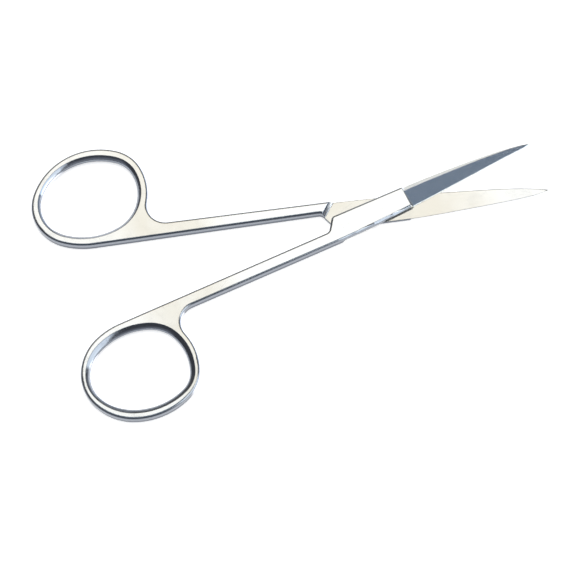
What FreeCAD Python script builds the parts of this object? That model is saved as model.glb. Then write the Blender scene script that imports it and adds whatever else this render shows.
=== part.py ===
import FreeCAD, Part
import math
import os
from FreeCAD import Vector

# Iris scissors: two forged halves crossing at a lap joint, held by one slotted screw.
# Millimetres, +Z up. The origin is on the pivot axis in the plane the scissors lie on.
# Each half is drawn in its own frame, pivot at the origin, tip along +X, flat inner face on
# the plane z = 0, cutting edge and finger ring on the -Y side. The front half lies on top;
# the rear half is the same pattern turned over about its long axis.

# Size of the whole instrument
overall_length = 115.0          # tip to the far end of the ring, closed
tip_reach = 40.3                # pivot axis to tip
thickness = 2.4                 # full thickness of ring and shank
inner_gap = 0.02                # running gap between the two flat inner faces
rest_opening = 17.0             # angle between the halves as modelled, degrees

# Finger ring: its outside and the edge of its hole are ovals of eight bends, in equal turns
# from under the web round the far end. Six radii are given, and the last two close the oval.
bend_turn = 45.0
bend_start = 22.5               # where the first bend begins, from the tip direction
web_bend, far_bend, low_bend, crotch_bend = 1, 3, 5, 7
edge_round = 0.55               # edge rounding outside the ring and along the shank
crotch_radius = 4.2             # where the shank runs into the ring's outside
hole_core = 5.5                 # radius round the hole's middle, past its bends' centres

# Shank
shank_outer_y = -3.6            # outside edge near the joint
shank_taper = 0.16              # turn of the outside edge as it runs to the ring, degrees

# Lap joint
joint_rear_x = -10.0            # where the joint's outside edge starts to curve
belly_share = 0.3               # how far the curve has gone to the heel abreast of the pivot
land_end_x = 8.6                # end of the flat land, where the blade's grind begins
run_out_angle = 35.0            # lean of the small wall at the end of the land, from upright
body_end_x = 9.9
shoulder_x = -9.2               # foot of the shoulder on the middle of the shank
shoulder_y = -1.9
shoulder_turn = 35.0            # the shoulder's line, turned from square across the shank
shoulder_run = 0.8              # how far the shoulder's wall leans back over half the thickness
shoulder_foot_round = 0.3
lobe_clearance = 0.25           # play between lobe and shoulder when the scissors are closed
lobe_corner_radius = 1.0
lobe_root_radius = 1.3

# Blade
bevel_angle = 12.0              # main outer grind, from the inner face
spine_bevel_angle = 36.0        # narrow grind along the spine
honed_angle = 38.0              # narrow honed bevel along the cutting edge
honed_width = 0.18
edge_land = 0.04                # blunt edge height left by honing
spine_land = 0.18               # upright strip left at the spine
slim_width = 2.0                # where the blade is narrower, these widths shrink with it
grinding_stock = 0.3            # metal below the inner face before it is ground flat

# Screw
head_diameter = 3.4
head_height = 0.6
head_play = 0.05                # radial play of the head in its recess
head_sink = 0.03                # the head sits this far below the outer face
head_chamfer = 0.1
bearing_diameter = 2.2          # plain part that turns in the rear half
bearing_play = 0.03             # radial play in the rear half's hole
thread_diameter = 1.8
slot_width = 0.5
slot_depth = 0.3
slot_turn = 35.0                # slot's direction from the front blade's

half_thickness = thickness / 2
beyond = 1.0                    # cutting blocks pass the metal by this much
far = 60.0                      # larger than anything a cutting block has to pass
close = 0.001                   # lengths closer than this are equal
axis_z = Vector(0, 0, 1)
pivot = Vector(0, 0, 0)

# The halves are finished by hand, so they differ a little.
# Blade stations are distance from the pivot, cutting edge, spine.
front = {
    "ring_inset": 0.6,          # how far this ring ends short of the overall length
    "ring_bends": [10.5, 15.7, 11.1, 10.2, 12.4, 16.0],
    "ring_middle_y": -12.4,
    "far_wire": 2.15,           # width of the ring's wire at the far end, seen from above
    "hole_bends": [8.8, 15.4, 9.75, 7.95, 11.9, 15.45],
    "hole_middle_y": -12.48,
    "hole_crown": 1.15,         # how far the hole's wall bulges into it
    "inner_y": -0.62,           # shank's edge that faces the other half, at the joint
    "heel_y": -2.75,            # outside edge where the blade begins
    "spine_y": 2.45,            # joint's edge on the blade's spine side
    "blade": [
        (8.0, -2.84, 2.45),
        (13.0, -2.42, 2.46),
        (20.0, -1.84, 2.24),
        (27.0, -1.22, 1.90),
        (33.0, -0.70, 1.42),
        (37.2, -0.33, 0.88),
        (tip_reach, -0.06, 0.10),
    ],
}
rear = {
    "ring_inset": 0.0,
    "ring_bends": [10.8, 17.2, 9.9, 9.6, 15.3, 14.8],
    "ring_middle_y": -12.05,
    "far_wire": 2.35,
    "hole_bends": [10.0, 15.45, 8.3, 8.7, 12.45, 14.45],
    "hole_middle_y": -12.05,
    "hole_crown": 0.9,
    "inner_y": -1.0,
    "heel_y": -3.05,
    "spine_y": 2.65,
    "blade": [
        (8.0, -3.17, 2.65),
        (13.0, -2.92, 2.58),
        (20.0, -2.46, 2.18),
        (27.0, -1.98, 1.76),
        (33.0, -1.40, 1.28),
        (37.2, -0.76, 0.80),
        (tip_reach, -0.06, 0.10),
    ],
}


def heading(degrees):
    """Unit vector in plan, at an angle from the tip direction."""
    angle = math.radians(degrees)
    return Vector(math.cos(angle), math.sin(angle), 0)


def closed_bends(given):
    """Radii of all the bends. The last two, facing -45 and 0 degrees, close the oval."""
    still_open = Vector(0, 0, 0)
    for step, radius in enumerate(given):
        still_open += heading(bend_start + bend_turn * (step + 0.5)) * radius
    seventh = still_open.y / math.sin(math.radians(bend_turn))
    eighth = -still_open.x - seventh * math.cos(math.radians(bend_turn))
    return given + [seventh, eighth]


def oval(given, far_x, middle_y):
    """Centre and radius of each bend, with the oval's far end and its middle in their places."""
    centre = Vector(0, 0, 0)
    arcs = []
    for step, radius in enumerate(closed_bends(given)):
        if arcs:
            centre = centre + heading(bend_start + bend_turn * step) * (arcs[-1][1] - radius)
        arcs.append((centre, radius))
    top_y = arcs[web_bend][0].y + arcs[web_bend][1]
    low_y = arcs[low_bend][0].y - arcs[low_bend][1]
    shift = Vector(
        far_x - (arcs[far_bend][0].x - arcs[far_bend][1]),
        middle_y - (top_y + low_y) / 2,
        -half_thickness,
    )
    return [(centre + shift, radius) for centre, radius in arcs]


def bend_edge(arcs, step, start=None, end=None):
    """Edge along one bend of an oval, whole or from or to a direction."""
    centre, radius = arcs[step]
    first = bend_start + bend_turn * step if start is None else start
    last = bend_start + bend_turn * (step + 1) if end is None else end
    circle = Part.Circle(centre, axis_z, radius)
    return Part.Arc(circle, math.radians(first), math.radians(last)).toShape()


def ring_far_x(half):
    """Where the ring ends, away from the tip."""
    return tip_reach - overall_length + half["ring_inset"]


def ring_hole(half):
    """Solid that fills the ring's hole, its wall pressed in by the crowned wire."""
    far_x = ring_far_x(half) + half["far_wire"] - half["hole_crown"]
    arcs = oval(half["hole_bends"], far_x, half["hole_middle_y"])
    middle = sum((centre for centre, radius in arcs), Vector(0, 0, 0)) * (1 / len(arcs))
    hole = Part.makeCylinder(hole_core, thickness, middle)
    for step, (centre, radius) in enumerate(arcs):
        low = Vector(radius, 0, 0)
        high = low + axis_z * thickness
        bulge = Part.BezierCurve()
        bulge.setPoles([low, Vector(radius - 2 * half["hole_crown"], 0, half_thickness), high])
        profile = Part.Wire([
            Part.LineSegment(Vector(0, 0, 0), low).toShape(),
            bulge.toShape(),
            Part.LineSegment(high, axis_z * thickness).toShape(),
            Part.LineSegment(axis_z * thickness, Vector(0, 0, 0)).toShape(),
        ])
        sector = Part.Face(profile).revolve(pivot, axis_z, bend_turn)
        sector.rotate(pivot, axis_z, bend_start + bend_turn * step)
        sector.translate(centre)
        hole = hole.fuse(sector)
    return hole


def nearest_upright_edge(solid, corner):
    """The solid's upright edge that stands closest to a corner of its plan."""
    def distance(edge):
        centre = edge.BoundBox.Center
        return math.hypot(centre.x - corner.x, centre.y - corner.y)

    upright = [edge for edge in solid.Edges if edge.BoundBox.ZLength > thickness - close]
    return min(upright, key=distance)


def land_edges(solid):
    """Edges round the top and bottom faces, apart from the end where the blade begins."""
    found = []
    for edge in solid.Edges:
        box = edge.BoundBox
        level = box.ZLength < close and abs(abs(box.ZMin) - half_thickness) < close
        if level and box.Center.x < body_end_x - close:
            found.append(edge)
    return found


def lobe_line_x(y):
    """Where the end of the lap's lobe lies, parallel to the other half's shoulder."""
    slope = math.tan(math.radians(shoulder_turn))
    foot = shoulder_x - slope * (-y - shoulder_y)
    return foot + lobe_clearance / math.cos(math.radians(shoulder_turn))


def touching_direction(start, centre, radius):
    """Direction from a circle's centre to where a line from start touches it, on the left."""
    out = start - centre
    return math.degrees(math.atan2(out.y, out.x) + math.acos(radius / out.Length))


def crotch_centre(bend, outside_start):
    """Centre of the round that touches the ring's outside and the shank's outside edge."""
    centre, radius = bend
    beside = outside_start - heading(90 + shank_taper) * crotch_radius
    path = Part.LineSegment(beside, beside - heading(shank_taper) * far)
    reach = Part.Circle(centre, axis_z, radius + crotch_radius)
    crossing = max(reach.intersectCC(path), key=lambda point: point.X)
    return Vector(crossing.X, crossing.Y, crossing.Z)


def handle_outline(half):
    """Plan outline of ring, shank and joint, and the corners that are rounded later."""
    down = -half_thickness
    arcs = oval(half["ring_bends"], ring_far_x(half), half["ring_middle_y"])
    lobe_root = Vector(lobe_line_x(half["inner_y"]), half["inner_y"], down)
    lobe_tip = Vector(lobe_line_x(half["spine_y"]), half["spine_y"], down)
    centre, radius = arcs[web_bend]
    web_direction = touching_direction(lobe_root, centre, radius)
    web = centre + heading(web_direction) * radius
    outside_start = Vector(joint_rear_x, shank_outer_y, down)
    crotch = crotch_centre(arcs[crotch_bend], outside_start)
    ring_to_crotch = crotch - arcs[crotch_bend][0]
    crotch_direction = math.degrees(math.atan2(ring_to_crotch.y, ring_to_crotch.x))
    crotch_ring_end = crotch - heading(crotch_direction) * crotch_radius
    shank_direction = 90 + shank_taper
    crotch_shank_end = crotch + heading(shank_direction) * crotch_radius
    belly = Vector(0, shank_outer_y + belly_share * (half["heel_y"] - shank_outer_y), down)
    heel = Vector(body_end_x, half["heel_y"], down)
    spine_end = Vector(body_end_x, half["spine_y"], down)
    ring = [bend_edge(arcs, web_bend, start=web_direction)]
    ring += [bend_edge(arcs, step) for step in range(web_bend + 1, crotch_bend)]
    ring += [bend_edge(arcs, crotch_bend, end=crotch_direction + 360)]
    halfway = heading((crotch_direction + 180 + shank_direction) / 2) * crotch_radius
    outline = Part.Wire(ring + [
        Part.Arc(crotch_ring_end, crotch + halfway, crotch_shank_end).toShape(),
        Part.LineSegment(crotch_shank_end, outside_start).toShape(),
        Part.Arc(outside_start, belly, heel).toShape(),
        Part.LineSegment(heel, spine_end).toShape(),
        Part.LineSegment(spine_end, lobe_tip).toShape(),
        Part.LineSegment(lobe_tip, lobe_root).toShape(),
        Part.LineSegment(lobe_root, web).toShape(),
    ])
    corners = [
        (lobe_root, lobe_root_radius),
        (lobe_tip, lobe_corner_radius),
    ]
    return outline, corners


def handle_and_joint(half):
    """Ring, shank and joint in full thickness, with rounded edges."""
    outline, corners = handle_outline(half)
    solid = Part.Face(outline).extrude(axis_z * thickness)
    for corner, radius in corners:
        solid = solid.makeFillet(radius, [nearest_upright_edge(solid, corner)])
    solid = solid.makeFillet(edge_round, land_edges(solid))
    return solid.cut(ring_hole(half))


def lap_cutter():
    """Block that removes the lower layer in front of the shoulder, down to its sloped wall."""
    top = inner_gap / 2
    deep = -half_thickness - beyond
    lean = shoulder_run * (top - deep) / (half_thickness + top)
    profile = Part.makePolygon([
        Vector(0, -far, top),
        Vector(far, -far, top),
        Vector(far, -far, deep),
        Vector(-lean, -far, deep),
        Vector(0, -far, top),
    ])
    block = Part.Face(profile).extrude(Vector(0, 2 * far, 0))
    foot = [
        edge for edge in block.Edges
        if abs(edge.BoundBox.Center.x) < close and abs(edge.BoundBox.Center.z - top) < close
    ]
    block = block.makeFillet(shoulder_foot_round, foot)
    block.rotate(pivot, axis_z, shoulder_turn)
    block.translate(Vector(shoulder_x, shoulder_y, 0))
    return block


def land_end_cutter():
    """Block beyond the leaning wall that ends the joint's flat land."""
    lean = math.tan(math.radians(run_out_angle))
    high = half_thickness + beyond
    low = -beyond
    profile = Part.makePolygon([
        Vector(land_end_x + (half_thickness - high) * lean, -far, high),
        Vector(far, -far, high),
        Vector(far, -far, low),
        Vector(land_end_x + (half_thickness - low) * lean, -far, low),
        Vector(land_end_x + (half_thickness - high) * lean, -far, high),
    ])
    return Part.Face(profile).extrude(Vector(0, 2 * far, 0))


def blade_section(x, edge_y, spine_y):
    """Ground section: flat inner face, honed edge, main bevel, narrow bevel at the spine."""
    width = spine_y - edge_y
    size = min(1.0, width / slim_width)
    honed = honed_width * size
    edge = edge_land * size
    spine = spine_land * size
    honed_top = edge + honed * math.tan(math.radians(honed_angle))
    rise = math.tan(math.radians(bevel_angle))
    fall = math.tan(math.radians(spine_bevel_angle))
    ridge = ((width - honed) * fall + spine - honed_top) / (rise + fall)
    ridge_z = honed_top + ridge * rise
    corners = [
        Vector(x, edge_y, -grinding_stock),
        Vector(x, edge_y, edge),
        Vector(x, edge_y + honed, honed_top),
        Vector(x, edge_y + honed + ridge, ridge_z),
        Vector(x, spine_y, spine),
        Vector(x, spine_y, -grinding_stock),
    ]
    return Part.makePolygon(corners + corners[:1])


def blade(stations):
    """Tapering blade through its ground sections, cut flat on the inner face."""
    sections = [blade_section(*station) for station in stations]
    solid = Part.makeLoft(sections, True, False)
    inner = Part.makeBox(2 * far, 2 * far, far, Vector(-far, -far, inner_gap / 2 - far))
    return solid.cut(inner)


def plain_half(half):
    """One half without its screw hole, outer face up."""
    body = handle_and_joint(half)
    body = body.cut(lap_cutter())
    body = body.cut(land_end_cutter())
    return body.fuse(blade(half["blade"])).removeSplitter()


def cylinder(diameter, low, high):
    """Round on the pivot axis between two heights."""
    return Part.makeCylinder(diameter / 2, high - low, Vector(0, 0, low))


def front_half():
    """Upper half, with the tapped hole for the screw."""
    return plain_half(front).cut(cylinder(thread_diameter, -thickness, thickness))


def rear_half():
    """Lower half, turned over, with the bearing hole and the recess for the screw's head."""
    hole = cylinder(bearing_diameter + 2 * bearing_play, -thickness, thickness)
    recess_floor = half_thickness - head_sink - head_height
    recess = cylinder(head_diameter + 2 * head_play, recess_floor, thickness)
    half = plain_half(rear).cut(hole).cut(recess)
    half.rotate(pivot, Vector(1, 0, 0), 180)
    return half


def pivot_screw():
    """Slotted head below, plain bearing in the rear half, thread end ground flush on top."""
    head_bottom = -half_thickness + head_sink
    head_top = head_bottom + head_height
    bearing_top = inner_gap / 2
    head = cylinder(head_diameter, head_bottom, head_top)
    rim = [edge for edge in head.Edges if edge.BoundBox.ZMax < head_bottom + close]
    head = head.makeChamfer(head_chamfer, rim)
    bearing = cylinder(bearing_diameter, head_top, bearing_top)
    thread = cylinder(thread_diameter, bearing_top, half_thickness)
    slot = Part.makeBox(
        2 * head_diameter, slot_width, slot_depth,
        Vector(-head_diameter, -slot_width / 2, head_bottom),
    )
    slot.rotate(pivot, axis_z, slot_turn)
    return head.fuse([bearing, thread]).removeSplitter().cut(slot)


def place(shape, angle):
    """Turn a piece about the pivot and lift the inner faces to the middle height."""
    shape.rotate(pivot, axis_z, angle)
    shape.translate(axis_z * half_thickness)
    return shape


def main():
    os.makedirs("parts", exist_ok=True)
    pieces = {
        "front_half": place(front_half(), rest_opening / 2),
        "rear_half": place(rear_half(), -rest_opening / 2),
        "pivot_screw": place(pivot_screw(), rest_opening / 2),
    }
    for name, shape in pieces.items():
        print(name, "solids", len(shape.Solids), "faces", len(shape.Faces),
              "valid", shape.isValid(), "volume", round(shape.Volume, 2))
        shape.Solids[0].exportStep("parts/" + name + ".step")


main()
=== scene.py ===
import math
import bmesh
import bpy
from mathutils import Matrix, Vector

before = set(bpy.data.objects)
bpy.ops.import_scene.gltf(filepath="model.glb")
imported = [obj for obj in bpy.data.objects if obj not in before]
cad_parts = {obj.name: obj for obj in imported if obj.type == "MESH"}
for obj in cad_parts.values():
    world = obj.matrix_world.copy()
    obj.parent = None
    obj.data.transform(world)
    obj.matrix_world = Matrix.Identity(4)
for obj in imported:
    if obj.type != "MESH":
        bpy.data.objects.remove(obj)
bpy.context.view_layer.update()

pictureUp = Vector((0.2844, 0.9587, 0.0))  # the floor direction that runs up the picture
pictureRight = Vector((0.9587, -0.2844, 0.0))


# Small helpers for node trees.
def addNode(tree, kind, place, **settings):
    node = tree.nodes.new(kind)
    node.location = place
    for name, value in settings.items():
        setattr(node, name, value)
    return node


def join(tree, source, target):
    tree.links.new(source, target)


def mathNode(tree, place, operation, first, second=None, clamp=False):
    node = addNode(tree, "ShaderNodeMath", place, operation=operation, use_clamp=clamp)
    for socket, value in zip(node.inputs, (first, second)):
        if value is None:
            continue
        if isinstance(value, (int, float)):
            socket.default_value = value
        else:
            join(tree, value, socket)
    return node.outputs[0]


def rangeNode(tree, place, value, fromLow, fromHigh, toLow=0.0, toHigh=1.0, smooth=True):
    node = addNode(tree, "ShaderNodeMapRange", place)
    node.interpolation_type = "SMOOTHSTEP" if smooth else "LINEAR"
    join(tree, value, node.inputs["Value"])
    numbers = {"From Min": fromLow, "From Max": fromHigh, "To Min": toLow, "To Max": toHigh}
    for name, number in numbers.items():
        if isinstance(number, (int, float)):
            node.inputs[name].default_value = number
        else:
            join(tree, number, node.inputs[name])
    return node.outputs["Result"]


def mixColour(tree, place, factor, first, second):
    node = addNode(tree, "ShaderNodeMix", place, data_type="RGBA")
    slots = {"factor": node.inputs[0], "first": node.inputs[6], "second": node.inputs[7]}
    for name, value in (("factor", factor), ("first", first), ("second", second)):
        if isinstance(value, (int, float)):
            slots[name].default_value = value
        elif isinstance(value, (tuple, list)):
            slots[name].default_value = (*value, 1.0)
        else:
            join(tree, value, slots[name])
    return node.outputs[2]


def blend(tree, place, factor, first, second):
    node = addNode(tree, "ShaderNodeMix", place, data_type="FLOAT")
    for socket, value in ((node.inputs[0], factor), (node.inputs[2], first), (node.inputs[3], second)):
        if isinstance(value, (int, float)):
            socket.default_value = value
        else:
            join(tree, value, socket)
    return node.outputs[0]


def dotNode(tree, place, vector, direction):
    node = addNode(tree, "ShaderNodeVectorMath", place, operation="DOT_PRODUCT")
    join(tree, vector, node.inputs[0])
    node.inputs[1].default_value = direction
    return node.outputs["Value"]


def scaleNode(tree, place, vector, factor):
    node = addNode(tree, "ShaderNodeVectorMath", place, operation="SCALE")
    join(tree, vector, node.inputs[0])
    join(tree, factor, node.inputs["Scale"])
    return node.outputs[0]


def ownFrame(tree, places, turn):
    own = addNode(tree, "ShaderNodeMapping", (-1500, 0))
    own.inputs["Rotation"].default_value[2] = math.radians(-turn)
    join(tree, places.outputs["Object"], own.inputs["Vector"])
    return own.outputs["Vector"]


def newGroup(name, inputs, outputs):
    group = bpy.data.node_groups.new(name, "ShaderNodeTree")
    for label, kind, value in inputs:
        socket = group.interface.new_socket(name=label, in_out="INPUT", socket_type=kind)
        if value is not None:
            socket.default_value = value
    for label, kind in outputs:
        group.interface.new_socket(name=label, in_out="OUTPUT", socket_type=kind)
    start = addNode(group, "NodeGroupInput", (-900, 0))
    end = addNode(group, "NodeGroupOutput", (700, 0))
    return group, start, end


def useGroup(tree, group, place, **values):
    node = addNode(tree, "ShaderNodeGroup", place, node_tree=group)
    for label, value in values.items():
        socket = node.inputs[label]
        if isinstance(value, (int, float, tuple)):
            socket.default_value = value
        else:
            join(tree, value, socket)
    return node


# Effects that both steels share. Each span is the part of a noise that the effect uses.
brushing = {
    "detail": 3.0,
    "roughness": 0.65,
    "span": (0.3, 0.7),
}


def makeBrushGrain(values):
    group, start, end = newGroup("brushGrain", [
        ("Vector", "NodeSocketVector", None),
        ("Strokes", "NodeSocketVector", (400.0, 5000.0, 5000.0)),
    ], [("Grain", "NodeSocketFloat")])
    stretched = addNode(group, "ShaderNodeVectorMath", (-600, 0), operation="MULTIPLY")
    join(group, start.outputs["Vector"], stretched.inputs[0])
    join(group, start.outputs["Strokes"], stretched.inputs[1])
    noise = addNode(group, "ShaderNodeTexNoise", (-350, 0))
    noise.inputs["Scale"].default_value = 1.0
    noise.inputs["Detail"].default_value = values["detail"]
    noise.inputs["Roughness"].default_value = values["roughness"]
    join(group, stretched.outputs[0], noise.inputs["Vector"])
    grain = rangeNode(group, (0, 0), noise.outputs["Fac"], *values["span"], smooth=False)
    join(group, grain, end.inputs["Grain"])
    return group


touching = {
    "Cloud": {"place": 200, "factor": 1.0, "detail": 2.0, "span": (0.35, 0.65)},   # broad and soft
    "Film": {"place": -200, "factor": 3.1, "detail": 4.0, "span": (0.42, 0.72)},   # smaller smears
}


def makeHandling(values):
    group, start, end = newGroup("handling", [
        ("Vector", "NodeSocketVector", None),
        ("Patches", "NodeSocketFloat", 220.0),
    ], [("Cloud", "NodeSocketFloat"), ("Film", "NodeSocketFloat")])
    for label, layer in values.items():
        place = layer["place"]
        size = mathNode(group, (-600, place), "MULTIPLY", start.outputs["Patches"], layer["factor"])
        noise = addNode(group, "ShaderNodeTexNoise", (-350, place))
        noise.inputs["Detail"].default_value = layer["detail"]
        join(group, start.outputs["Vector"], noise.inputs["Vector"])
        join(group, size, noise.inputs["Scale"])
        join(group, rangeNode(group, (0, place), noise.outputs["Fac"], *layer["span"]), end.inputs[label])
    return group


scratching = {
    "turns": (14.0, -31.0, 68.0),      # degrees from the blade's length
    "detail": 1.0,
    "span": (0.68, 0.78),
}


def makeScratches(values):
    group, start, end = newGroup("fineScratches", [
        ("Vector", "NodeSocketVector", None),
        ("Length", "NodeSocketFloat", 160.0),
        ("Width", "NodeSocketFloat", 7000.0),
        ("Amount", "NodeSocketFloat", 0.3),
    ], [("Mask", "NodeSocketFloat")])
    layers = []
    for row, turn in enumerate(values["turns"]):
        place = 300 - 300 * row
        turned = addNode(group, "ShaderNodeVectorRotate", (-700, place), rotation_type="Z_AXIS")
        turned.inputs["Angle"].default_value = math.radians(turn)
        join(group, start.outputs["Vector"], turned.inputs["Vector"])
        strokes = addNode(group, "ShaderNodeCombineXYZ", (-700, place - 150))
        join(group, start.outputs["Length"], strokes.inputs["X"])
        join(group, start.outputs["Width"], strokes.inputs["Y"])
        join(group, start.outputs["Length"], strokes.inputs["Z"])
        stretched = addNode(group, "ShaderNodeVectorMath", (-500, place), operation="MULTIPLY")
        join(group, turned.outputs[0], stretched.inputs[0])
        join(group, strokes.outputs[0], stretched.inputs[1])
        noise = addNode(group, "ShaderNodeTexNoise", (-300, place))
        noise.inputs["Scale"].default_value = 1.0
        noise.inputs["Detail"].default_value = values["detail"]
        join(group, stretched.outputs[0], noise.inputs["Vector"])
        layers.append(rangeNode(group, (-100, place), noise.outputs["Fac"], *values["span"]))
    both = mathNode(group, (150, 100), "MAXIMUM", layers[0], layers[1])
    every = mathNode(group, (300, 0), "MAXIMUM", both, layers[2])
    join(group, mathNode(group, (450, 0), "MULTIPLY", every, start.outputs["Amount"]), end.inputs["Mask"])
    return group


wearing = {
    "samples": 6,
    "detail": 3.0,
    "edge": (0.995, 0.90),             # how far the rounded normal leans off where wear starts and is whole
    "span": (0.35, 0.62),
}


def makeEdgeWear(values):
    group, start, end = newGroup("edgeWear", [
        ("Vector", "NodeSocketVector", None),
        ("Reach", "NodeSocketFloat", 0.00015),
        ("Breakup", "NodeSocketFloat", 1800.0),
    ], [("Mask", "NodeSocketFloat"), ("Normal", "NodeSocketVector")])
    rounded = addNode(group, "ShaderNodeBevel", (-600, 200), samples=values["samples"])
    join(group, start.outputs["Reach"], rounded.inputs["Radius"])
    join(group, rounded.outputs["Normal"], end.inputs["Normal"])
    shape = addNode(group, "ShaderNodeNewGeometry", (-600, 0))
    lean = addNode(group, "ShaderNodeVectorMath", (-350, 100), operation="DOT_PRODUCT")
    join(group, rounded.outputs["Normal"], lean.inputs[0])
    join(group, shape.outputs["Normal"], lean.inputs[1])
    edge = rangeNode(group, (-100, 100), lean.outputs["Value"], *values["edge"])
    noise = addNode(group, "ShaderNodeTexNoise", (-350, -200))
    noise.inputs["Detail"].default_value = values["detail"]
    join(group, start.outputs["Vector"], noise.inputs["Vector"])
    join(group, start.outputs["Breakup"], noise.inputs["Scale"])
    broken = rangeNode(group, (-100, -200), noise.outputs["Fac"], *values["span"])
    join(group, mathNode(group, (300, 0), "MULTIPLY", edge, broken), end.inputs["Mask"])
    return group


polishing = {
    "strokes": (320.0, 5200.0, 5200.0),
    "patches": 120.0,
    "filmAtLeast": 0.72,               # how whole the film is where it is thinnest
    "grainTone": (0.975, 1.025),
    "grainRoughness": 0.06,
    "scratchRoughness": 0.3,
}


def makePolishedFlat(inner, values):
    group, start, end = newGroup("polishedFlat", [
        ("Vector", "NodeSocketVector", None),
        ("Held", "NodeSocketFloat", 0.1),
        ("Clean", "NodeSocketColor", (0.88, 0.88, 0.85, 1.0)),
        ("Warm", "NodeSocketColor", (0.76, 0.73, 0.64, 1.0)),
        ("Polish", "NodeSocketFloat", 0.12),
        ("Dulled", "NodeSocketFloat", 0.19),
    ], [("Color", "NodeSocketColor"), ("Roughness", "NodeSocketFloat"), ("Height", "NodeSocketFloat")])
    vector = start.outputs["Vector"]
    grain = useGroup(group, inner["grain"], (-600, 200), Vector=vector, Strokes=values["strokes"])
    grain = grain.outputs["Grain"]
    marks = useGroup(group, inner["marks"], (-600, -50), Vector=vector, Patches=values["patches"])
    lines = useGroup(group, inner["lines"], (-600, -250), Vector=vector)
    cloud = rangeNode(group, (-400, 150), marks.outputs["Cloud"], 0.0, 1.0,
                      values["filmAtLeast"], 1.0, smooth=False)
    film = mathNode(group, (-200, 300), "MULTIPLY", start.outputs["Held"], cloud)
    colour = mixColour(group, (0, 300), film, start.outputs["Clean"], start.outputs["Warm"])
    tone = rangeNode(group, (0, 100), grain, 0.0, 1.0, *values["grainTone"], smooth=False)
    join(group, scaleNode(group, (250, 300), colour, tone), end.inputs["Color"])
    dull = rangeNode(group, (-200, -50), marks.outputs["Film"], 0.0, 1.0,
                     start.outputs["Polish"], start.outputs["Dulled"])
    grained = mathNode(group, (-50, -250), "MULTIPLY", grain, values["grainRoughness"])
    dull = mathNode(group, (100, -100), "ADD", dull, grained)
    scratched = mathNode(group, (100, -250), "MULTIPLY", lines.outputs["Mask"], values["scratchRoughness"])
    dull = mathNode(group, (300, -100), "ADD", dull, scratched)
    join(group, dull, end.inputs["Roughness"])
    relief = mathNode(group, (300, -350), "SUBTRACT", grain, lines.outputs["Mask"])
    join(group, relief, end.inputs["Height"])
    return group


brushGrain = makeBrushGrain(brushing)
handling = makeHandling(touching)
fineScratches = makeScratches(scratching)
edgeWear = makeEdgeWear(wearing)
polishedFlat = makePolishedFlat({"grain": brushGrain, "marks": handling, "lines": fineScratches}, polishing)
print("shared effects made")


# The two forged halves. Each is drawn lengthwise along its own blade, so the turn that it has at
# rest is taken out of the coordinates first. Lengths are in metres. A pair gives where something
# starts and where it is whole, and a level is 1 on a face that lies flat and 0 on an upright one.
steel = {
    "clean": (0.885, 0.885, 0.855),    # polished flats
    "warm": (0.745, 0.71, 0.615),      # where handling has left a film
    "polish": 0.12,                    # roughness where clean, and where smeared
    "dulled": 0.165,
    "webFrom": (-0.030, -0.041),       # the film grows along the shank towards the ring
    "webFilm": (0.10, 1.0),
    "webTo": (-0.050, -0.060),         # and fades again round the ring
    "ringFilm": (1.0, 0.35),
    "innerFrom": (0.034, 0.018),       # on the inner face it grows from the points to the joint
    "innerWithin": (0.0002, 0.0001),   # height over the inner face where that film ends
    "middle": 0.0012,                  # height of the inner faces
    "side": (0.27, 0.29, 0.325),       # painted shade: the walls round the rings and along the shanks are made darker, standing in for the shaded floor they mirror
    "under": (0.10, 0.115, 0.145),     # painted shade, darker still low down on those walls
    "sideLevel": (0.96, 0.86),
    "underFrom": (0.0016, 0.0010),     # heights
    "sideRoughness": (0.16, 0.24),
    "tumblePatches": 420.0,
    "ground": (0.75, 0.80, 0.85),      # the broad grind of the blades
    "groundLevel": (0.997, 0.988),
    "groundRoughness": (0.20, 0.26),
    "groundTone": (0.93, 1.07),
    "bladeFrom": (0.0085, 0.0086),     # distance from the pivot where the ground blade starts
    "strokeTurn": 58.0,                # the grinding lines' turn from the blade's length, degrees
    "strokes": (900.0, 9000.0, 9000.0),
    "narrow": (0.62, 0.62, 0.60),      # the narrow grinds at spine and cutting edge
    "narrowLevel": (0.95, 0.90),
    "narrowForward": (0.6, 0.4),       # not on the small wall that faces the points
    "paintedSlopeFoot": (0.86, 0.89, 0.97),   # painted reflection on the shoulder's slope: pale at its foot and dark at its head
    "paintedSlopeHead": (0.26, 0.31, 0.40),
    "paintedSlopeRise": (0.0006, 0.0011),    # heights over the inner face where the one turns into the other
    "milledForward": (0.45, 0.6),
    "milledMetal": 0.9,
    "shoulderTo": -0.006,              # the shoulder's slope lies behind this
    "worn": (0.90, 0.90, 0.89),        # bright edges
    "rubbed": (0.5, 0.03),             # how strongly they show, beside the flats and on the walls
    "edgeReach": 0.0002,               # how far the broken edges reach
    "screwReach": (0.0012, 0.0013),    # the screw's ground end lies flush within this distance
    "reliefStrength": 0.2,
    "reliefHeight": 0.000003,
    "turn": {"front_half": 8.5, "rear_half": -8.5},   # degrees
}


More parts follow.
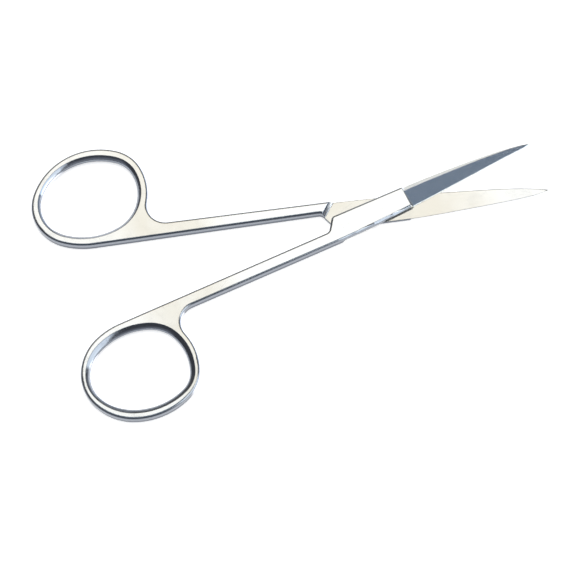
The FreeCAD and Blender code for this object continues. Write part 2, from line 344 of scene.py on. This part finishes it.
def makeSteel(node, values):
    material = bpy.data.materials.new("groundSteel_" + node)
    material.use_nodes = True
    tree = material.node_tree
    tree.nodes.clear()
    places = addNode(tree, "ShaderNodeTexCoord", (-1700, 0))
    own = ownFrame(tree, places, values["turn"][node])

    # Where a point lies on the half, and which way it faces.
    split = addNode(tree, "ShaderNodeSeparateXYZ", (-1300, 400))
    join(tree, own, split.inputs[0])
    along = split.outputs["X"]
    facing = addNode(tree, "ShaderNodeSeparateXYZ", (-1300, 600))
    join(tree, places.outputs["Normal"], facing.inputs[0])
    level = mathNode(tree, (-1100, 600), "ABSOLUTE", facing.outputs["Z"])
    turn = math.radians(values["turn"][node])
    toPoints = (math.cos(turn), math.sin(turn), 0.0)
    forward = dotNode(tree, (-1300, 800), places.outputs["Normal"], toPoints)
    height = mathNode(tree, (-1300, 1000), "SUBTRACT", split.outputs["Z"], values["middle"])
    height = mathNode(tree, (-1100, 1000), "ABSOLUTE", height)

    # Masks for the finishes, and for the painted shade and painted reflection.
    onBlade = rangeNode(tree, (-900, 400), along, *values["bladeFrom"])
    sloped = rangeNode(tree, (-900, 600), level, *values["groundLevel"])
    ground = mathNode(tree, (-700, 600), "MULTIPLY", sloped, onBlade)
    steep = rangeNode(tree, (-900, 750), level, *values["narrowLevel"])
    sideways = rangeNode(tree, (-1100, 900), forward, *values["narrowForward"])
    sideways = mathNode(tree, (-900, 900), "MULTIPLY", onBlade, sideways)
    narrow = mathNode(tree, (-700, 750), "MULTIPLY", steep, sideways)
    side = rangeNode(tree, (-900, 1100), level, *values["sideLevel"])
    elsewhere = mathNode(tree, (-900, 1250), "SUBTRACT", 1.0, narrow)
    side = mathNode(tree, (-700, 1100), "MULTIPLY", side, elsewhere)
    shoulderSlope = rangeNode(tree, (-900, 1400), forward, *values["milledForward"])
    behind = mathNode(tree, (-900, 1550), "LESS_THAN", along, values["shoulderTo"])
    shoulderSlope = mathNode(tree, (-700, 1300), "MULTIPLY", shoulderSlope, behind)
    web = rangeNode(tree, (-1300, 1200), along, *values["webFrom"], *values["webFilm"])
    ring = rangeNode(tree, (-1300, 1350), along, *values["webTo"], *values["ringFilm"])
    heldBehind = mathNode(tree, (-1100, 1200), "MULTIPLY", web, ring)
    onInner = rangeNode(tree, (-1300, 1500), height, *values["innerWithin"])
    nearJoint = rangeNode(tree, (-1300, 1700), along, *values["innerFrom"])
    heldInside = mathNode(tree, (-1100, 1400), "MULTIPLY", onInner, nearJoint)
    held = mathNode(tree, (-900, 1700), "MAXIMUM", heldBehind, heldInside)

    flat = useGroup(tree, polishedFlat, (-1100, 200), Vector=own, Held=held, Clean=(*values["clean"], 1.0),
                    Warm=(*values["warm"], 1.0), Polish=values["polish"], Dulled=values["dulled"])
    slanted = addNode(tree, "ShaderNodeVectorRotate", (-1300, -150), rotation_type="Z_AXIS")
    slanted.inputs["Angle"].default_value = math.radians(values["strokeTurn"])
    join(tree, own, slanted.inputs["Vector"])
    strokes = useGroup(tree, brushGrain, (-1100, -150), Vector=slanted.outputs[0], Strokes=values["strokes"])
    strokes = strokes.outputs["Grain"]
    tumbled = useGroup(tree, handling, (-1100, -400), Vector=own, Patches=values["tumblePatches"])
    plan = addNode(tree, "ShaderNodeVectorMath", (-1500, -600), operation="MULTIPLY")
    join(tree, own, plan.inputs[0])
    plan.inputs[1].default_value = (1.0, 1.0, 0.0)
    fromPivot = addNode(tree, "ShaderNodeVectorMath", (-1300, -600), operation="LENGTH")
    join(tree, plan.outputs[0], fromPivot.inputs[0])
    reach = rangeNode(tree, (-1300, -800), fromPivot.outputs["Value"], *values["screwReach"],
                      0.0, values["edgeReach"])
    wear = useGroup(tree, edgeWear, (-1100, -650), Vector=own, Reach=reach)

    # Colour.
    # The walls' colour is painted shade: the side colour, and the darker one low down, stand in for the
    # shaded floor that the walls mirror.
    low = rangeNode(tree, (-900, 1850), split.outputs["Z"], *values["underFrom"])
    wall = mixColour(tree, (-700, 850), low, values["side"], values["under"])
    # The shoulder's slope gets a painted reflection: pale at its foot, dark at its head.
    rise = rangeNode(tree, (-900, 2000), height, *values["paintedSlopeRise"])
    slope = mixColour(tree, (-700, 1500), rise, values["paintedSlopeFoot"], values["paintedSlopeHead"])
    wall = mixColour(tree, (-600, 850), shoulderSlope, wall, slope)
    colour = mixColour(tree, (-500, 700), side, flat.outputs["Color"], wall)
    bladeTone = mixColour(tree, (-500, 450), narrow, values["ground"], values["narrow"])
    tone = rangeNode(tree, (-500, 250), strokes, 0.0, 1.0, *values["groundTone"], smooth=False)
    colour = mixColour(tree, (-100, 600), ground, colour, scaleNode(tree, (-300, 450), bladeTone, tone))
    rubbed = rangeNode(tree, (-300, 300), side, 0.0, 1.0, *values["rubbed"], smooth=False)
    rubbed = mathNode(tree, (-100, 400), "MULTIPLY", wear.outputs["Mask"], rubbed)
    colour = mixColour(tree, (100, 500), rubbed, colour, values["worn"])

    # Roughness and relief.
    sideRough = rangeNode(tree, (-700, -150), tumbled.outputs["Film"], 0.0, 1.0, *values["sideRoughness"])
    rough = blend(tree, (-500, -100), side, flat.outputs["Roughness"], sideRough)
    groundRough = rangeNode(tree, (-500, -250), strokes, 0.0, 1.0, *values["groundRoughness"])
    rough = blend(tree, (-300, -100), ground, rough, groundRough)
    relief = blend(tree, (-100, -400), ground, flat.outputs["Height"], strokes)
    bump = addNode(tree, "ShaderNodeBump", (300, -400))
    bump.inputs["Strength"].default_value = values["reliefStrength"]
    bump.inputs["Distance"].default_value = values["reliefHeight"]
    join(tree, relief, bump.inputs["Height"])
    join(tree, wear.outputs["Normal"], bump.inputs["Normal"])

    surface = addNode(tree, "ShaderNodeBsdfPrincipled", (500, 200))
    matt = mathNode(tree, (100, 100), "MULTIPLY", shoulderSlope, side)
    metal = rangeNode(tree, (300, 100), matt, 0.0, 1.0, 1.0, values["milledMetal"], smooth=False)
    join(tree, metal, surface.inputs["Metallic"])
    join(tree, colour, surface.inputs["Base Color"])
    join(tree, rough, surface.inputs["Roughness"])
    join(tree, bump.outputs["Normal"], surface.inputs["Normal"])
    output = addNode(tree, "ShaderNodeOutputMaterial", (800, 200))
    join(tree, surface.outputs[0], output.inputs[0])
    return material


for node in steel["turn"]:
    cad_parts[node].data.materials[0] = makeSteel(node, steel)
print("forged halves finished")


# The pivot screw. Its threaded end is ground flush with the front half and shares its finish.
screw = {
    "colour": (0.76, 0.755, 0.74),
    "dirt": (0.45, 0.43, 0.40),
    "dirtShare": 0.4,
    "patches": 700.0,
    "worn": (0.86, 0.86, 0.85),
    "edgeReach": 0.0001,
    "roughness": (0.22, 0.34),
    "rings": (9000.0, 9000.0, 9000.0),   # turning marks
    "groundFrom": (0.0022, 0.0023),      # height above which it is ground with the front half
}


def makeScrewSteel(values, flush):
    material = bpy.data.materials.new("turnedSteel")
    material.use_nodes = True
    tree = material.node_tree
    tree.nodes.clear()
    places = addNode(tree, "ShaderNodeTexCoord", (-1700, 0))
    split = addNode(tree, "ShaderNodeSeparateXYZ", (-1100, 0))
    join(tree, places.outputs["Object"], split.inputs[0])
    flat = addNode(tree, "ShaderNodeCombineXYZ", (-900, 0))
    join(tree, split.outputs["X"], flat.inputs["X"])
    join(tree, split.outputs["Y"], flat.inputs["Y"])
    radius = addNode(tree, "ShaderNodeVectorMath", (-700, 0), operation="LENGTH")
    join(tree, flat.outputs[0], radius.inputs[0])
    turned = addNode(tree, "ShaderNodeCombineXYZ", (-500, 0))
    join(tree, radius.outputs["Value"], turned.inputs["X"])
    join(tree, split.outputs["Z"], turned.inputs["Z"])
    grain = useGroup(tree, brushGrain, (-300, 0), Vector=turned.outputs[0], Strokes=values["rings"])
    grain = grain.outputs["Grain"]
    whole = places.outputs["Object"]
    marks = useGroup(tree, handling, (-300, -200), Vector=whole, Patches=values["patches"])
    wear = useGroup(tree, edgeWear, (-300, -400), Vector=whole, Reach=values["edgeReach"])
    ground = rangeNode(tree, (-300, 400), split.outputs["Z"], *values["groundFrom"])
    own = ownFrame(tree, places, flush["turn"]["front_half"])
    end = useGroup(tree, polishedFlat, (-300, 600), Vector=own, Clean=(*flush["clean"], 1.0),
                   Warm=(*flush["warm"], 1.0), Polish=flush["polish"], Dulled=flush["dulled"])
    dirt = mathNode(tree, (-100, 100), "MULTIPLY", marks.outputs["Film"], values["dirtShare"])
    colour = mixColour(tree, (0, 200), dirt, values["colour"], values["dirt"])
    colour = mixColour(tree, (200, 200), wear.outputs["Mask"], colour, values["worn"])
    colour = mixColour(tree, (350, 400), ground, colour, end.outputs["Color"])
    rough = rangeNode(tree, (0, -100), grain, 0.0, 1.0, *values["roughness"])
    rough = blend(tree, (350, -50), ground, rough, end.outputs["Roughness"])
    bump = addNode(tree, "ShaderNodeBump", (350, -300))
    bump.inputs["Strength"].default_value = flush["reliefStrength"]
    bump.inputs["Distance"].default_value = flush["reliefHeight"]
    join(tree, blend(tree, (150, -300), ground, grain, end.outputs["Height"]), bump.inputs["Height"])
    surface = addNode(tree, "ShaderNodeBsdfPrincipled", (600, 100))
    surface.inputs["Metallic"].default_value = 1.0
    join(tree, colour, surface.inputs["Base Color"])
    join(tree, rough, surface.inputs["Roughness"])
    join(tree, bump.outputs["Normal"], surface.inputs["Normal"])
    output = addNode(tree, "ShaderNodeOutputMaterial", (900, 100))
    join(tree, surface.outputs[0], output.inputs[0])
    return material


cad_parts["pivot_screw"].data.materials[0] = makeScrewSteel(screw, steel)
print("screw finished")


# Floor, light and camera. Heights in the sky are sines of the angle over the horizon, and shares
# to the right and to the back are how far a direction points to the picture's right and top.
studio = {
    "floorSize": 4.0,
    "floorDrop": 0.0001,               # keeps the floor just clear of the part
    "floorColour": (0.90, 0.90, 0.90),
    "floorGlow": 0.58,                 # what white still lacks once the lamps have lit the floor
    "darkSky": (0.12, 0.125, 0.14),
    "paleSky": (0.80, 0.83, 0.86),     # low down, mostly to the right of the picture
    "paleTo": (0.10, 0.62),            # height where it ends, on the left and on the right
    "paleAcross": (-0.6, 1.0),         # shares to the right for those two
    "paleFade": (1.0, 0.1),            # of that height
    "backSky": (0.20, 0.20, 0.19),     # half high, towards the top of the picture
    "backFrom": (0.35, 0.6),           # shares to the back
    "frontSky": (0.38, 0.40, 0.45),    # low down, towards its bottom
    "frontFrom": (-0.45, -0.7),
    "frontTo": (0.6, 0.3),             # heights
    "overhead": (0.115, 0.16, 0.23),
    "overheadFrom": (0.88, 0.955),     # heights
    "centre": Vector((-0.016, 0.0, 0.0)),
    "wattsPerLevel": 4.0,              # for a square metre of lamp
}
# A lamp's lean is its angle from straight up towards the top of the picture, and side the one
# towards its right. The ceiling is bounced light, too broad to mirror.
lamps = {
    "softbox": {
        "lean": 23.0, "side": 0.0, "distance": 0.8, "width": 0.46, "height": 0.34,
        "level": 0.875, "colour": (1.0, 0.995, 0.985), "inMetal": True, "onFloor": True,
    },
    "ceiling": {
        "lean": 0.0, "side": 0.0, "distance": 1.6, "width": 2.0, "height": 2.0,
        "level": 1.5, "colour": (1.0, 1.0, 1.0), "inMetal": False, "onFloor": True,
    },
    "window": {
        "lean": -24.5, "side": 56.1, "distance": 0.8, "width": 0.72, "height": 0.70,
        "level": 1.9, "colour": (0.90, 0.96, 1.0), "inMetal": True, "onFloor": False,
    },
}


def makeFloor(values):
    mesh = bpy.data.meshes.new("studioFloor")
    shape = bmesh.new()
    bmesh.ops.create_grid(shape, x_segments=1, y_segments=1, size=values["floorSize"] / 2)
    bmesh.ops.translate(shape, verts=shape.verts, vec=(0.0, 0.0, -values["floorDrop"]))
    shape.to_mesh(mesh)
    shape.free()
    floor = bpy.data.objects.new("studioFloor", mesh)
    bpy.context.scene.collection.objects.link(floor)
    material = bpy.data.materials.new("studioPaper")
    material.use_nodes = True
    tree = material.node_tree
    tree.nodes.clear()
    paint = addNode(tree, "ShaderNodeBsdfDiffuse", (0, 200))
    paint.inputs["Color"].default_value = (*values["floorColour"], 1.0)
    path = addNode(tree, "ShaderNodeLightPath", (-600, 0))
    seen = mathNode(tree, (-400, 0), "ADD", path.outputs["Is Camera Ray"], path.outputs["Is Glossy Ray"])
    seen = mathNode(tree, (-250, 0), "ADD", seen, path.outputs["Is Transmission Ray"], clamp=True)
    glow = addNode(tree, "ShaderNodeEmission", (0, 0))
    join(tree, mathNode(tree, (-120, 0), "MULTIPLY", seen, values["floorGlow"]), glow.inputs["Strength"])
    both = addNode(tree, "ShaderNodeAddShader", (200, 100))
    join(tree, paint.outputs[0], both.inputs[0])
    join(tree, glow.outputs[0], both.inputs[1])
    output = addNode(tree, "ShaderNodeOutputMaterial", (400, 100))
    join(tree, both.outputs[0], output.inputs[0])
    mesh.materials.append(material)


def makeWorld(values):
    world = bpy.data.worlds.new("studio")
    bpy.context.scene.world = world
    world.use_nodes = True
    tree = world.node_tree
    tree.nodes.clear()
    places = addNode(tree, "ShaderNodeTexCoord", (-800, 0))
    split = addNode(tree, "ShaderNodeSeparateXYZ", (-1000, 0))
    join(tree, places.outputs["Generated"], split.inputs[0])
    height = split.outputs["Z"]
    toRight = dotNode(tree, (-1000, -200), places.outputs["Generated"], pictureRight)
    toBack = dotNode(tree, (-1000, -400), places.outputs["Generated"], pictureUp)
    paleTo = rangeNode(tree, (-800, -200), toRight, *values["paleAcross"], *values["paleTo"])
    pale = mathNode(tree, (-600, 0), "DIVIDE", height, paleTo)
    pale = rangeNode(tree, (-400, 0), pale, *values["paleFade"])
    sky = mixColour(tree, (-200, 0), pale, values["darkSky"], values["paleSky"])
    above = mathNode(tree, (-300, -200), "SUBTRACT", 1.0, pale)
    back = rangeNode(tree, (-400, -400), toBack, *values["backFrom"])
    back = mathNode(tree, (-200, -300), "MULTIPLY", back, above)
    sky = mixColour(tree, (-100, -100), back, sky, values["backSky"])
    front = rangeNode(tree, (-600, -500), toBack, *values["frontFrom"])
    lowDown = rangeNode(tree, (-600, -700), height, *values["frontTo"])
    front = mathNode(tree, (-400, -600), "MULTIPLY", front, lowDown)
    front = mathNode(tree, (-200, -500), "MULTIPLY", front, above)
    sky = mixColour(tree, (0, -200), front, sky, values["frontSky"])
    overhead = rangeNode(tree, (-400, 300), height, *values["overheadFrom"])
    sky = mixColour(tree, (-50, 100), overhead, sky, values["overhead"])
    background = addNode(tree, "ShaderNodeBackground", (100, 0))
    join(tree, sky, background.inputs["Color"])
    output = addNode(tree, "ShaderNodeOutputWorld", (300, 0))
    join(tree, background.outputs[0], output.inputs[0])


def makeLamp(name, values):
    data = bpy.data.lights.new(name, "AREA")
    data.shape = "RECTANGLE"
    data.size = values["width"]
    data.size_y = values["height"]
    data.color = values["colour"]
    data.energy = studio["wattsPerLevel"] * values["level"] * values["width"] * values["height"]
    lamp = bpy.data.objects.new(name, data)
    bpy.context.scene.collection.objects.link(lamp)
    lamp.visible_glossy = values["inMetal"]
    lamp.visible_diffuse = values["onFloor"]
    direction = Vector((0.0, 0.0, 1.0))
    direction += pictureUp * math.tan(math.radians(values["lean"]))
    direction += pictureRight * math.tan(math.radians(values["side"]))
    direction.normalize()
    lamp.location = studio["centre"] + direction * values["distance"]
    lamp.rotation_euler = (-direction).to_track_quat("-Z", "Y").to_euler()
    print(name, "hangs at", [round(n, 3) for n in lamp.location])


makeFloor(studio)
makeWorld(studio)
for name, values in lamps.items():
    makeLamp(name, values)
print("studio built")

viewpoint = {
    "place": (-0.0680, -0.1644, 0.3945),
    "target": (-0.0227, -0.0116, 0.0),
    "lens": 121.0,
    "sensor": 36.0,
    "nearest": 0.01,
}
cameraData = bpy.data.cameras.new("camera")
cameraData.lens = viewpoint["lens"]
cameraData.sensor_width = viewpoint["sensor"]
cameraData.clip_start = viewpoint["nearest"]
camera = bpy.data.objects.new("camera", cameraData)
bpy.context.scene.collection.objects.link(camera)
camera.location = viewpoint["place"]
look = Vector(viewpoint["target"]) - Vector(viewpoint["place"])
camera.rotation_euler = look.to_track_quat("-Z", "Y").to_euler()
bpy.context.scene.camera = camera
bpy.context.scene.view_settings.view_transform = "Standard"
print("camera set")
